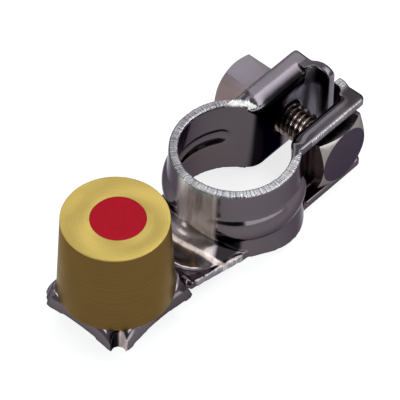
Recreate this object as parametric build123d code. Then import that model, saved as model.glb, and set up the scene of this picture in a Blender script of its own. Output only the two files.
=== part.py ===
from build123d import *
import os
from math import atan2, cos, degrees, hypot, pi, radians, sin, tan

# A battery terminal clamp: a pressed and plated steel strap with a split ring for one
# battery post, closed by a square-head bolt and a nut, and a brass post of its own that
# stands on the square end of the strap.
#
# Frame: the origin is on the ring's axis at the ring's bottom edge, +Z up the ring,
# +X from the ring towards its two ears, and +Y towards the nut. Lengths are in mm.

# ---- strap sheet and ring -------------------------------------------------------------
SHEET = 1.6             # thickness of the strap's sheet
RING_TOP_R = 9.3        # inside radius of the ring at its top edge
RING_H = 16.5           # height of the ring and of its ears
TAPER = 1 / 18          # growth of a battery post's radius per mm of depth

# ---- waist beads pressed out of the ring, one each side ---------------------------------
BEAD_Z = 8.5            # height of the bead's middle
BEAD_H = 4.8            # height of the bead on the ring's outside
BEAD_PROUD = 0.7        # how far the bead stands out
BEAD_REAR = 152         # middle of a bead's rounded rear end, in degrees from +X
BEAD_FRONT = 57         # middle of its front end

# ---- ears: channels turned outwards over the bolt's head and the nut --------------------
GAP_BACK = 2.95         # gap face of the ear on the nut's side
GAP_FRONT = 4.5         # gap face of the ear on the bolt head's side
FLANGE_BACK = 7.35      # outer edge of the flanges on the nut's side
FLANGE_FRONT = 8.5      # outer edge of the flanges on the bolt head's side
FLANGE_END_BACK = 23.5  # where the flanges end on the nut's side
FLANGE_END_FRONT = 23.1 # and on the bolt head's side
FLANGE_CORNER_R = 1.0   # rounding of a flange's far corner
EAR_BEND_R = 2.5        # outside radius of the bend from an ear's wall to its flange
ROOT_BEND_R = 3.0       # radius of the bend from the ring into an ear, on the gap side
ROOT_FADE_R = 5.0       # radius on which the flange bend runs out into the ring
ROOT_SWEEP = 42         # how far it turns before it has run out, in degrees
RETURN_BEND_R = 1.5     # inside radius of the bend at an ear's far end
EAR_END_BACK = 24.4     # outer face of the return on the nut's side
EAR_END_FRONT = 23.65   # outer face of the return on the bolt head's side
RETURN_TIP_BACK = -0.3  # y at which the return on the nut's side ends
RETURN_TIP_FRONT = -2.2 # and the one on the bolt head's side

# ---- four-sided plate with drawn-down sides and fluted corners ------------------------------
PLATE_X = -28.5         # axis of the brass post
PLATE_TOP = 7.0         # height of the post's seat
PLATE_SIDE = 8.75       # from the post's axis to the foot of a side
PLATE_LONG = 1.3        # how much further the side towards the neck lies
SKIRT_H = 3.6           # how far the sides are drawn down
SIDE_HOLLOW = 1.0       # how far a side runs in at its middle, at its foot
PLATE_CORNER_R = 3.0    # rounding of the plate's corners
SHOULDER = 1.3          # how far the seat's edge lies inside the foot of the sides
FLUTE_R = 1.1           # flutes down the four corners
FLUTE_HEAD = 9.6        # from the post's axis to the flute's bottom, at the seat
FLUTE_FOOT = 10.6       # and at the foot
SIDE_ARCH = 0.8         # rise of the skirt's lower edge at the middle of each side

# ---- neck between the ring and the plate ------------------------------------------------
NECK_HALF_ANGLE = 66    # half of the ring's rear that turns out into the neck, in degrees
NECK_HALF_PLATE = 7.9   # half of the neck's width at the plate
NECK_OVERLAP = 12       # how far the ring's wall runs on over the neck's edge, in degrees
NECK_SEAM = 1.0         # height of the seam in the wall over the neck's ridge
CREST_X = -14.6         # cross ridge of the neck
CREST_Z = 6.3           # height of the ridge
VALLEY_Z = 4.0          # height of the neck's floor between the ridge and the plate
EDGE_Z_RING = 3.7       # height of the neck's side edges at the ring
EDGE_Z_PLATE = 5.1      # height of the neck's side edges at the plate
RING_EDGE_LIFT = 2.1    # how far the ring's lower edge has risen where the neck starts
LIFT_START_BACK = 0.0   # x from which it rises on the nut's side
LIFT_START_FRONT = 5.0  # and on the bolt head's side
NECK_FADE = 0.65        # share of the half width over which the ridge fades to the edge
NECK_BEND_SPREAD = 0.45 # share of the half width with the deep bend into the wall
BEND_H_MIDDLE = 3.8     # height of the bend from the wall, at the neck's middle
BEND_H_SIDE = 1.2       # and at its sides
BEND_RUN_MIDDLE = 3.2   # how far the bend reaches out, at the middle
BEND_RUN_SIDE = 2.2     # and at its sides
BEND_SHARE = 0.4        # share of the skin's grid that lies in the bend
CREST_CURVE = 0.029     # how the ridge bends towards the ring at its ends
DROP_RUN = 2.7          # length of the drop from the ridge to the floor

# ---- brass post and its screw -----------------------------------------------------------
POST_TOP_R = 8.75       # a standard positive post is 17.5 mm across at its top
POST_H = 16.2
POST_EDGE = 0.25        # broken edge at the top of the post
SCREW_D = 8.0
SCREW_DEPTH = 9.0       # how far the screw reaches into the post
SCREW_SPARE = 0.8       # the tapped hole is this much deeper
SCREW_HEAD_AF = 11.0
SCREW_CLEAR = 0.2       # radial clearance of the screw in the strap
THREAD_CLEAR = 0.05     # radial clearance of a plain shank drawn in place of a thread
MARK_R = 4.5            # red polarity mark in the post's top
MARK_DEPTH = 0.5
MARK_CLEAR = 0.05
MARK_X = 0.3            # the mark is a little off the post's axis
MARK_Y = -0.35

# ---- clamp bolt and nut -----------------------------------------------------------------
BOLT_X = 17.0           # axis of the bolt
BOLT_Z = 7.9            # and its height
BOLT_D = 6.0
BOLT_HOLE_CLEAR = 0.3   # radial clearance in the ears
HEAD_AF = 10.4
HEAD_H = 3.3
CHAMFER_ANGLE = 30      # chamfer of the bolt's head and of the nut
NUT_AF = 9.5
NUT_H = 10.8
NUT_SEAT_CLEAR = 0.05   # between the nut and the ear
BOLT_PAST_NUT = -1.0    # how far the bolt's end stands out of the nut
SHANK_TIP = 0.6         # chamfer at the bolt's end

RING_MID_Z = RING_H / 2
SIDES = (-1, 1)
BASE = (Align.CENTER, Align.CENTER, Align.MIN)


def inner_radius(z):
    """Inside radius of the ring at height z."""
    return RING_TOP_R + (RING_H - z) * TAPER


def outer_radius(z):
    """Outside radius of the ring at height z."""
    return inner_radius(z) + SHEET


def smooth(t):
    """Rises from 0 to 1 between t = 0 and t = 1, level at both ends."""
    t = min(max(t, 0.0), 1.0)
    return t * t * (3 - 2 * t)


# ---- the strap: ring ----------------------------------------------------------------------

def tapered_plug(extra):
    """A solid plug of the ring's inside, larger all round by the extra."""
    low, high = -2.0, RING_H + 2.0
    return Pos(0, 0, low) * Cone(inner_radius(low) + extra, inner_radius(high) + extra,
                                 high - low, align=BASE)


def bead_rolls(offset):
    """Both beads as solid rolls round the ring, thinner than the outside by the offset."""
    roll_r = ((BEAD_H / 2) ** 2 + BEAD_PROUD ** 2) / (2 * BEAD_PROUD)
    centre_r = outer_radius(BEAD_Z) + BEAD_PROUD - roll_r
    span = BEAD_REAR - BEAD_FRONT
    rolls = []
    for side in SIDES:
        start = BEAD_FRONT if side > 0 else -BEAD_REAR
        section = Plane.XZ * (Pos(centre_r, BEAD_Z) * Circle(roll_r - offset))
        rolls.append(Rot(0, 0, start) * revolve(section, Axis.Z, span))
        for end in (radians(start), radians(start + span)):
            place = Pos(centre_r * cos(end), centre_r * sin(end), BEAD_Z)
            rolls.append(place * Sphere(roll_r - offset))
    return rolls


def press_beads(body):
    """Presses the two beads out of the ring's wall."""
    band = Pos(0, 0, BEAD_Z) * Cylinder(RING_H, BEAD_H)
    for roll in bead_rolls(0):
        body = body + ((roll & band) - tapered_plug(0))
    for roll in bead_rolls(SHEET):
        body = body - roll
    return body


def below_neck():
    """The space under the neck's sheet at the ring's rear, with a gabled top."""
    far = 3 * RING_TOP_R
    side = outer_radius(0)
    turn = radians(NECK_HALF_ANGLE - NECK_OVERLAP)
    plan = make_face(Polyline((0, 0), (-far * cos(turn), far * sin(turn)),
                              (-far * cos(turn), -far * sin(turn)), close=True))
    gable = make_face(Polyline((0, -SHEET), (side, -SHEET), (side, EDGE_Z_RING - NECK_SEAM / 4),
                               (0, CREST_Z + NECK_SEAM), close=True))
    roof = extrude(Plane.YZ * gable, -far)
    return extrude(plan, RING_H, both=True) & (roof + mirror(roof, Plane.XZ))


def lower_edge_cutter(side):
    """What the rising lower edge of the ring leaves out on one side of the neck."""
    start = LIFT_START_BACK if side > 0 else LIFT_START_FRONT
    lift_x = outer_radius(0) * cos(radians(NECK_HALF_ANGLE))
    rear = -2 * outer_radius(0)
    profile = make_face(Polyline((start, 0), (-lift_x, RING_EDGE_LIFT), (rear, RING_EDGE_LIFT),
                                 (rear, -SHEET), (start, -SHEET), close=True))
    return extrude(Plane.XZ * profile, -side * RING_H)


def plain_ring():
    """The tapered ring without its beads, open at the rear below the neck."""
    ring = Cone(outer_radius(0), outer_radius(RING_H), RING_H, align=BASE)
    ring = ring - tapered_plug(0) - below_neck()
    for side in SIDES:
        ring = ring - lower_edge_cutter(side)
    return ring


# ---- the strap: neck ----------------------------------------------------------------------

def neck_point(u, v, depth):
    """
    A point of the neck, at a depth under its upper skin. u runs from the ring's wall (0) to
    the plate (1), and v across the neck (-1 to 1). The sheet turns out of the wall in a bend,
    rises to the cross ridge and drops to the floor in front of the plate. The ridge and the
    drop fade out towards the side edges.
    """
    raised = smooth((1 - abs(v)) / NECK_FADE)
    foot_z = EDGE_Z_RING + raised * (CREST_Z - EDGE_Z_RING)
    middle = smooth(1 - abs(v) / NECK_BEND_SPREAD)
    bend_h = BEND_H_SIDE + middle * (BEND_H_MIDDLE - BEND_H_SIDE)
    bend_run = BEND_RUN_SIDE + middle * (BEND_RUN_MIDDLE - BEND_RUN_SIDE)
    turn = min(u / BEND_SHARE, 1) * pi / 2
    z = foot_z + bend_h * (1 - sin(turn))
    angle = radians(NECK_HALF_ANGLE * v)
    wall_r = outer_radius(z) - SHEET / 2
    wall = (-wall_r * cos(angle), wall_r * sin(angle))
    plate = (PLATE_X + PLATE_SIDE + PLATE_LONG - SHEET / 2, v * NECK_HALF_PLATE)
    length = hypot(plate[0] - wall[0], plate[1] - wall[1])
    past_bend = max((u - BEND_SHARE) / (1 - BEND_SHARE), 0)
    reach = (bend_run * (1 - cos(turn)) + past_bend * (length - bend_run)) / length
    x = wall[0] + reach * (plate[0] - wall[0])
    y = wall[1] + reach * (plate[1] - wall[1])
    if past_bend > 0:
        edge_z = EDGE_Z_RING + past_bend * (EDGE_Z_PLATE - EDGE_Z_RING)
        past_crest = CREST_X + CREST_CURVE * y * y - x
        mid_z = CREST_Z - (CREST_Z - VALLEY_Z) * smooth(past_crest / DROP_RUN)
        z = edge_z + raised * (mid_z - edge_z)
    inwards = depth * cos(turn) / wall_r
    return x - inwards * wall[0], y - inwards * wall[1], z - depth * sin(turn)


def neck_skin(depth):
    """One face of the neck's sheet, at a depth under its upper face."""
    rows, columns = 17, 13
    grid = [[neck_point(i / (rows - 1), 2 * j / (columns - 1) - 1, depth)
             for j in range(columns)] for i in range(rows)]
    return Face.make_surface_from_array_of_points(grid, tol=0.05, min_deg=3, max_deg=3)


def neck():
    """The neck's sheet, closed all round between its upper and lower faces."""
    upper, lower = neck_skin(0), neck_skin(SHEET)
    edges = [Face.make_surface_from_curves(above, below)
             for above, below in zip(upper.edges(), lower.edges())]
    return Solid(Shell([upper, lower] + edges))


# ---- the strap: plate ---------------------------------------------------------------------

def plate_level(half, hollow, z):
    """One level of the plate: its sides run in by the hollow at their middles."""
    out = half + hollow
    far = out + PLATE_LONG
    middle = PLATE_LONG / 2
    with BuildSketch(Plane.XY.offset(z)) as level:
        with BuildLine():
            ThreePointArc((far, -out), (far - hollow, 0), (far, out))
            ThreePointArc((far, out), (middle, half), (-out, out))
            ThreePointArc((-out, out), (-half, 0), (-out, -out))
            ThreePointArc((-out, -out), (middle, -half), (far, -out))
        make_face()
        fillet(level.vertices(), PLATE_CORNER_R)
    return level.sketch


def plate_block(inset, shoulder):
    """The plate's drawn form as a block, smaller by the inset on its sides and its top."""
    top = PLATE_TOP - inset
    foot = PLATE_TOP - SKIRT_H - inset
    half = PLATE_SIDE - inset
    levels = [plate_level(half - shoulder, SIDE_HOLLOW * 0.1, top),
              plate_level(half - shoulder * 0.2, SIDE_HOLLOW * 0.4, top - SKIRT_H * 0.4),
              plate_level(half, SIDE_HOLLOW, foot)]
    return loft(levels)


def flutes(extra):
    """The four flutes down the plate's corners, wider all round by the extra."""
    lean = atan2(FLUTE_FOOT - FLUTE_HEAD, SKIRT_H)
    rod = Cylinder(FLUTE_R + extra, 6 * SKIRT_H)
    rods = []
    for shift, turn in ((PLATE_LONG, 45), (0, 135), (0, 225), (PLATE_LONG, 315)):
        place = Pos(shift, 0, PLATE_TOP - SKIRT_H) * Rot(0, 0, turn) * Pos(FLUTE_FOOT + FLUTE_R, 0, 0)
        rods.append(place * Rot(0, -degrees(lean), 0) * rod)
    return rods


def plate():
    """The plate under the brass post, open below for the screw's head."""
    outside = plate_block(0, SHOULDER)
    inside = plate_block(SHEET, SHOULDER / 3)
    for groove, wall in zip(flutes(0), flutes(SHEET)):
        outside = outside - groove
        inside = inside - wall
    arch_r = (PLATE_SIDE ** 2 + SIDE_ARCH ** 2) / (2 * SIDE_ARCH)
    arch = Pos(0, 0, PLATE_TOP - SKIRT_H + SIDE_ARCH - arch_r) * (
        Rot(90, 0, 0) * Cylinder(arch_r, 4 * PLATE_SIDE))
    arches = Pos(PLATE_LONG / 2, 0, 0) * arch + Rot(0, 0, 90) * arch
    hole = Pos(0, 0, PLATE_TOP) * Cylinder(SCREW_D / 2 + SCREW_CLEAR, 4 * SHEET)
    return Pos(PLATE_X, 0, 0) * (outside - inside - arches - hole)


# ---- the strap: ears ----------------------------------------------------------------------

def ear_sizes(side):
    """Gap face, return's outer face and tip, and flange's outer edge and end of one ear."""
    if side > 0:
        return GAP_BACK, EAR_END_BACK, RETURN_TIP_BACK, FLANGE_BACK, FLANGE_END_BACK
    return GAP_FRONT, EAR_END_FRONT, RETURN_TIP_FRONT, FLANGE_FRONT, FLANGE_END_FRONT


def ear_wall(side):
    """The upright wall of one ear with its return at the far end."""
    gap, end, tip, _, _ = ear_sizes(side)
    middle = side * (gap + SHEET / 2)
    turn_x = end - SHEET / 2
    line = FilletPolyline((RING_TOP_R - SHEET, middle), (turn_x, middle), (turn_x, tip),
                          radius=RETURN_BEND_R + SHEET / 2)
    return extrude(trace(line, SHEET), RING_H)


def ear_flanges(side):
    """The top and bottom flanges of one ear, from the ring to the far end."""
    gap, _, _, edge, end = ear_sizes(side)
    plan = Pos(end / 2, side * (gap + edge) / 2) * Rectangle(end, edge - gap)
    corner = [v for v in plan.vertices() if v.X > end / 2 and abs(v.Y) > gap + SHEET]
    flange = extrude(fillet(corner, FLANGE_CORNER_R), SHEET)
    pair = flange + Pos(0, 0, RING_H - SHEET) * flange
    return pair - tapered_plug(SHEET / 2)


def ear_bend_cutter(side, top):
    """What the bend takes off the corner between an ear's gap face and one flange."""
    gap, end, _, _, _ = ear_sizes(side)
    spare = SHEET / 2
    reach = inner_radius(RING_MID_Z) + ROOT_BEND_R
    start = (reach ** 2 - (gap + ROOT_BEND_R) ** 2) ** 0.5
    far = end - SHEET - RETURN_BEND_R
    corner = Plane(origin=(start, side * gap, RING_H), x_dir=(0, side, 0), z_dir=(1, 0, 0))
    up = corner.y_dir.Z
    with BuildSketch(corner) as profile:
        with BuildLine():
            Polyline((EAR_BEND_R, 0), (EAR_BEND_R, up * spare), (-spare, up * spare),
                     (-spare, -up * EAR_BEND_R), (0, -up * EAR_BEND_R))
            RadiusArc((0, -up * EAR_BEND_R), (EAR_BEND_R, 0), up * EAR_BEND_R)
        make_face()
    straight = extrude(profile.sketch, far - start, dir=(1, 0, 0))
    fade_axis = Axis((start, side * (gap + ROOT_FADE_R), 0), (0, 0, side))
    cutter = straight + revolve(profile.sketch, fade_axis, -ROOT_SWEEP)
    if top:
        return cutter
    return mirror(cutter, Plane.XY.offset(RING_MID_Z))


def bolt_hole():
    """The clamp bolt's hole through both ears."""
    return Pos(BOLT_X, 0, BOLT_Z) * Rot(90, 0, 0) * Cylinder(
        BOLT_D / 2 + BOLT_HOLE_CLEAR, 2 * (FLANGE_FRONT + SHEET))


def upright_edge(body, radius, y):
    """The upright edge where a flat wall face at y meets the ring at the given mid radius."""
    x = (radius ** 2 - y ** 2) ** 0.5
    return [e for e in body.edges() if e.bounding_box().size.Z > RING_H * 0.8
            and hypot(e.center().X - x, e.center().Y - y) < SHEET / 4]


def clamp_strap():
    """The whole strap as one pressed sheet: ring, ears, neck and plate."""
    body = plain_ring()
    for side in SIDES:
        body = body + (ear_wall(side) - tapered_plug(0))
    gap_run = 1.5 * RING_TOP_R
    gap = Box(gap_run, GAP_BACK + GAP_FRONT, 2 * RING_H)
    body = body - Pos(gap_run / 2, (GAP_BACK - GAP_FRONT) / 2, RING_MID_Z) * gap
    for side in SIDES:
        back_y = side * (ear_sizes(side)[0] + SHEET)
        corner = upright_edge(body, outer_radius(RING_MID_Z), back_y)
        body = fillet(corner, ROOT_BEND_R - SHEET)
    for side in SIDES:
        corner = upright_edge(body, inner_radius(RING_MID_Z), side * ear_sizes(side)[0])
        body = fillet(corner, ROOT_BEND_R)
    body = press_beads(body + neck() - tapered_plug(0)) + plate()
    for side in SIDES:
        body = body + ear_flanges(side)
    for side in SIDES:
        body = body - ear_bend_cutter(side, True) - ear_bend_cutter(side, False)
    return body - bolt_hole()


# ---- post, screw, mark, bolt and nut ------------------------------------------------------

def hex_bar(across, length):
    """A hex bar standing on the XY plane, with flats towards +Y and -Y."""
    return extrude(RegularPolygon(across / 2, 6, major_radius=False, rotation=30), length)


def chamfer_cone(across, height):
    """A cone that takes the corners off a square or hex end lying on the XY plane."""
    return Cone(across / 2, across / 2 + height / tan(radians(CHAMFER_ANGLE)), height,
                align=BASE)


def brass_post():
    """The tapered brass post, tapped from below, with a recess for the mark in its top."""
    base_r = POST_TOP_R + POST_H * TAPER
    body = Cone(base_r, POST_TOP_R, POST_H, align=BASE)
    body = chamfer(body.edges().filter_by(GeomType.CIRCLE).sort_by(Axis.Z)[-1], POST_EDGE)
    body = body - Cylinder(SCREW_D / 2 + THREAD_CLEAR, SCREW_DEPTH + SCREW_SPARE, align=BASE)
    recess = Pos(MARK_X, MARK_Y, POST_H) * Cylinder(MARK_R + MARK_CLEAR, 2 * MARK_DEPTH)
    return Pos(PLATE_X, 0, PLATE_TOP) * (body - recess)


def post_screw():
    """The hex-head screw that holds the brass post down on the plate."""
    head_h = PLATE_TOP - SHEET
    head = hex_bar(SCREW_HEAD_AF, head_h)
    shank = Pos(0, 0, head_h) * Cylinder(SCREW_D / 2, SHEET + SCREW_DEPTH, align=BASE)
    shank = chamfer(shank.edges().filter_by(GeomType.CIRCLE).sort_by(Axis.Z)[-1], SHANK_TIP)
    return Pos(PLATE_X, 0, 0) * ((head & chamfer_cone(SCREW_HEAD_AF, head_h)) + shank)


def red_mark():
    """The red polarity mark, a thin disc in the post's top."""
    place = Pos(PLATE_X + MARK_X, MARK_Y, PLATE_TOP + POST_H - MARK_DEPTH)
    return place * Cylinder(MARK_R, MARK_DEPTH, align=BASE)


def clamp_bolt():
    """The square-head clamp bolt, lying along +Y with its head in the front ear."""
    head = Box(HEAD_AF, HEAD_AF, HEAD_H, align=BASE)
    reach = GAP_FRONT + SHEET + GAP_BACK + SHEET + NUT_SEAT_CLEAR + NUT_H + BOLT_PAST_NUT
    shank = Pos(0, 0, HEAD_H) * Cylinder(BOLT_D / 2, reach, align=BASE)
    shank = chamfer(shank.edges().filter_by(GeomType.CIRCLE).sort_by(Axis.Z)[-1], SHANK_TIP)
    place = Pos(BOLT_X, -GAP_FRONT - SHEET - HEAD_H, BOLT_Z) * Rot(-90, 0, 0)
    return place * ((head & chamfer_cone(HEAD_AF, HEAD_H)) + shank)


def clamp_nut():
    """The long hex nut on the back ear, flat on top and chamfered at its outer end."""
    body = hex_bar(NUT_AF, NUT_H) & chamfer_cone(NUT_AF, NUT_H)
    body = body - Cylinder(BOLT_D / 2 + THREAD_CLEAR, 3 * NUT_H)
    outer_end = GAP_BACK + SHEET + NUT_SEAT_CLEAR + NUT_H
    return Pos(BOLT_X, outer_end, BOLT_Z) * Rot(90, 0, 0) * body


os.makedirs("parts", exist_ok=True)
export_step(clamp_strap(), "parts/clamp_strap.step")
export_step(brass_post(), "parts/brass_post.step")
export_step(post_screw(), "parts/post_screw.step")
export_step(red_mark(), "parts/red_mark.step")
export_step(clamp_bolt(), "parts/clamp_bolt.step")
export_step(clamp_nut(), "parts/clamp_nut.step")
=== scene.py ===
import bmesh
import bpy
from math import atan2, ceil, cos, hypot, pi, radians, sin, tan
from mathutils import Matrix, Vector


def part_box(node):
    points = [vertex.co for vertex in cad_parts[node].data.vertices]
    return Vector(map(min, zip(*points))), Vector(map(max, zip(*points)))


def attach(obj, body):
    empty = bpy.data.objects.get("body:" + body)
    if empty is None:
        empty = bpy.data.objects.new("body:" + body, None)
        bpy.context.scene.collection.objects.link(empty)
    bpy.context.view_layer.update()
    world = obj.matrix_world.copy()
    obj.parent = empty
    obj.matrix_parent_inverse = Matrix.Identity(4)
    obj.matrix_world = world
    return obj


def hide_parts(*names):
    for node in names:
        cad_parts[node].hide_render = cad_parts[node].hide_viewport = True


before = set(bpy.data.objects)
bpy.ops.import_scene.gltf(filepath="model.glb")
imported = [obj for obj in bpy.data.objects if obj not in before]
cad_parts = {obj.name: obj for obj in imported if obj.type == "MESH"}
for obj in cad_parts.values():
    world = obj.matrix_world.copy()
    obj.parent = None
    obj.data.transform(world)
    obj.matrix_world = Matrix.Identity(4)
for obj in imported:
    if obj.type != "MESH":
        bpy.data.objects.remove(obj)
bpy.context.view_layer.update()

# ---------------------------------------------------------------------------------------
# Strap. One folded piece of pressed steel with a dark, bright nickel plate. Its long edges
# are sheared before plating, so they are lighter and scored across the sheet; the ring, the
# ears, the neck and the plate under the post are drawn from the same blank.
# ---------------------------------------------------------------------------------------
STRAP_LOW, STRAP_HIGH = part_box("clamp_strap")
SHEET = 0.0016
RING_TOP_R = 0.0093
GAP_BACK = 0.00295          # the ears' inner faces, from the strap's middle
GAP_FRONT = 0.0045
FLANGE_BACK = 0.00735       # the flanges' outer edges, from the strap's middle
FLANGE_FRONT = 0.0085
FLANGE_START_X = 0.0095
RETURN_X = 0.0215           # where the ears turn in towards each other
PLATE_X = -0.0285           # the post's axis
PLATE_END_X = -0.0180       # where the plate under the post ends and the neck starts
NECK_HIGH = 0.0075          # above the neck and its edges
SKIRT_FOOT = 0.0034         # the plate's sides: height of their foot and how deep they are
SKIRT_H = 0.0033
FILL_R = 0.0023             # the back outer corner is drawn round, its flute all but gone
FILL_TAPER = 0.8
FILL_OUT = 0.00625          # its middle, along X and along Y from the post's axis
FILL_LEAN = radians(8)
VOXEL = 0.000238
MERGE = 0.000002            # points this close are one point


def select_only(piece):
    """Selects one object and makes it active, with nothing else selected."""
    bpy.ops.object.select_all(action="DESELECT")
    piece.select_set(True)
    bpy.context.view_layer.objects.active = piece


def apply_modifier(piece, kind, **settings):
    """Adds one modifier with its settings and applies it."""
    select_only(piece)
    modifier = piece.modifiers.new(kind.title(), kind)
    for name, value in settings.items():
        setattr(modifier, name, value)
    bpy.ops.object.modifier_apply(modifier=modifier.name)


def copy_of_cad(node, name):
    """A copy of a CAD node's mesh with its loose triangles merged."""
    piece = bpy.data.objects.new(name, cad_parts[node].data.copy())
    bpy.context.scene.collection.objects.link(piece)
    piece.data.materials.clear()
    select_only(piece)
    bpy.ops.object.mode_set(mode="EDIT")
    bpy.ops.mesh.select_all(action="SELECT")
    bpy.ops.mesh.remove_doubles(threshold=MERGE)
    bpy.ops.mesh.customdata_custom_splitnormals_clear()
    bpy.ops.object.mode_set(mode="OBJECT")
    return piece


strap = copy_of_cad("clamp_strap", "pressed_strap")
bpy.ops.object.select_all(action="DESELECT")
bpy.ops.mesh.primitive_cone_add(
    vertices=48, radius1=FILL_R, radius2=FILL_TAPER * FILL_R, depth=SKIRT_H,
    location=(PLATE_X - FILL_OUT, FILL_OUT, STRAP_LOW.z + SKIRT_FOOT + SKIRT_H / 2),
    rotation=(FILL_LEAN, FILL_LEAN, 0))
strap.select_set(True)
bpy.context.view_layer.objects.active = strap
bpy.ops.object.join()
apply_modifier(strap, "REMESH", mode="VOXEL", voxel_size=VOXEL, use_smooth_shade=True)
apply_modifier(strap, "SMOOTH", factor=0.5, iterations=6)

# The least that a surface's normal has to follow an axis to count as facing that way.
FACES_UP = 0.5
LEANS_UP = 0.2
FACES_STRAIGHT = 0.75


def soft(value, start, end, first=0.0, last=1.0):
    """Goes smoothly from first to last while the value goes from start to end."""
    share = min(max((value - start) / (end - start), 0), 1)
    return first + (last - first) * share * share * (3 - 2 * share)


RETURNS_PART_Y = -GAP_FRONT / 3     # the back return ends before this, the front one after it
RETURN_RUN = 0.0018         # from the back return's bend to the strap's middle
RETURN_TIP = 0.0003         # how far its tip goes on past the middle
RETURN_MORE = 0.00045       # and how much further the tip has crept over the front return
RETURN_ROUND = 0.0016       # the tip's upper corner, and how much of its quarter is used
ROUND_SHARE = 0.97
FLANGE_RISE = 0.00030       # the back flange isn't bent quite flat: its outer edge stays high


def sprung(place):
    """Where a point of the strap lies as the press has left it."""
    moved = place.copy()
    if place.x > RETURN_X - SHEET and RETURNS_PART_Y < place.y < RETURN_RUN:
        moved.y -= soft(-place.y, -RETURN_RUN, RETURN_TIP, 0, RETURN_MORE)
        corner = min(max(RETURN_ROUND - RETURN_TIP - place.y, 0), ROUND_SHARE * RETURN_ROUND)
        drop = RETURN_ROUND - (RETURN_ROUND ** 2 - corner ** 2) ** 0.5
        moved.z -= soft(place.z, STRAP_HIGH.z - 2 * SHEET, STRAP_HIGH.z, 0, drop)
    near_top = place.x > FLANGE_START_X and place.z > STRAP_HIGH.z - 1.5 * SHEET
    if near_top and place.y > GAP_BACK + SHEET:
        out = min((place.y - GAP_BACK - SHEET) / (FLANGE_BACK - GAP_BACK - SHEET), 1)
        moved.z += out * soft(place.x, FLANGE_START_X, FLANGE_START_X + SHEET, 0, FLANGE_RISE)
    return moved


# How strongly the sheared edges are scored, from 0 to 1. The ring's rim and the neck's edges
# go from the first of two strengths to the second over the range that stands with them, a
# painted highlight that makes the rim lighter towards the front and the neck's edges lighter
# towards the ring.
RIM = 0.0003                # depth of the sheared edge's own shine
BURR = 0.7 * RIM
RING_RIM_R = RING_TOP_R + 1.2 * SHEET       # round the whole of the ring's top
NECK_FROM_R = RING_TOP_R + 2 * SHEET
RIM_SCORED, RIM_HIGHLIGHT_Y = (0.5, 1.0), (0.002, -0.005)
NECK_SCORED, NECK_HIGHLIGHT_X = (0.45, 0.95), (-0.013, -0.009)
RETURN_SCORED = 0.7
BURR_SCORED = 1.0           # the flanges' upper corner, where the shear left its burr, scored most as a painted highlight
FLANGE_SCORED = 0.3
UNDER_SCORED = 0.6


def sheared(place, normal):
    """How strongly a point of the strap is scored, and its run along the sheared edge."""
    from_axis = hypot(place.x, place.y)
    on_ring = from_axis < RING_RIM_R
    run = atan2(place.y, place.x) * RING_TOP_R if on_ring else place.x
    near_top = place.z > STRAP_HIGH.z - RIM and normal.z > FACES_UP
    past_flanges = place.x < 0 or place.y > FLANGE_BACK or place.y < -FLANGE_FRONT
    if near_top and on_ring and past_flanges:
        return soft(place.y, *RIM_HIGHLIGHT_Y, *RIM_SCORED), run
    if near_top and place.x > RETURN_X and -GAP_FRONT < place.y < RETURNS_PART_Y:
        return RETURN_SCORED, place.y
    past_edge = max(place.y - FLANGE_BACK, -FLANGE_FRONT - place.y)
    if place.x > FLANGE_START_X and place.z > STRAP_HIGH.z - 1.2 * SHEET and past_edge > -RIM / 2:
        return BURR_SCORED if place.z > STRAP_HIGH.z - BURR else FLANGE_SCORED, run
    on_neck = PLATE_END_X < place.x < 0 and place.z < NECK_HIGH
    if on_neck and from_axis > NECK_FROM_R and abs(normal.y) > FACES_STRAIGHT:
        return soft(place.x, *NECK_HIGHLIGHT_X, *NECK_SCORED), run
    if normal.z < -FACES_STRAIGHT and place.z < STRAP_LOW.z + RIM:
        return UNDER_SCORED, run
    return 0.0, run


# The functions below give how much painted light and how much painted shade the strap's colour
# takes, each from 0 to 1, one function for each part of the strap: painted reflections and
# highlights, and painted shade where faces look dark. Above each stand its strengths and the
# ranges over which its painted light or its painted shade sets in or fades: places in metres,
# turns, and rises of the surface.
FLUTE_R = 0.0011
FLUTE_OUT = 0.0117          # the flute's middle from the post's axis, at its foot
FLUTE_LEAN = 0.28           # how fast it leans in towards the axis on its way up
FLUTE_ACROSS = Vector((0.67, -0.75))
FLUTE_EDGE = (FLUTE_R + 0.0001, FLUTE_R + 0.0004)
# where the painted highlight and the painted shade set in, across the flute
FLUTE_HIGHLIGHT, FLUTE_SHADE = (0.0, 0.0003), (0.0001, -0.0002)


def flute_light_and_shade(place):
    """The front outer flute under the post: a painted highlight on one side and painted shade on the
    other.
    """
    out = (FLUTE_OUT - FLUTE_LEAN * (place.z - SKIRT_FOOT)) * cos(pi / 4)
    from_middle = Vector((place.x - PLATE_X + out, place.y + out))
    across = from_middle.dot(FLUTE_ACROSS)
    inside = soft(from_middle.length, *FLUTE_EDGE, 1, 0)
    return inside * soft(across, *FLUTE_HIGHLIGHT), inside * soft(across, *FLUTE_SHADE)


# Painted reflection of the brass post on the ring's wall and the neck beside it: weaker up the wall and
# on faces that look up, and weaker past the neck's cross ridge, fading out towards the post. A painted
# highlight runs along the ridge, and on its ring side faces that look up take painted shade.
REFLECTION_STARTS, REFLECTION_ENDS = (radians(-18), radians(-8)), (radians(24), radians(29))
WALL_REFLECTION, WALL_Z = 0.75, (0.0085, 0.0125)
TOP_REFLECTION, TOP_SHADE, TOP_RISE = 0.45, 0.45, (0.2, 0.7)
CREST_X = -0.0146           # the neck's cross ridge at the strap's middle
CREST_CURVE = 32            # and how it curves towards the ring, per metre
CREST_BEFORE, CREST_AFTER = (-0.0007, -0.0002), (0.0003, 0.0007)
FADING_REFLECTION, FADING_BEFORE = 0.6, (-0.0035, -0.0005)
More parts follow.
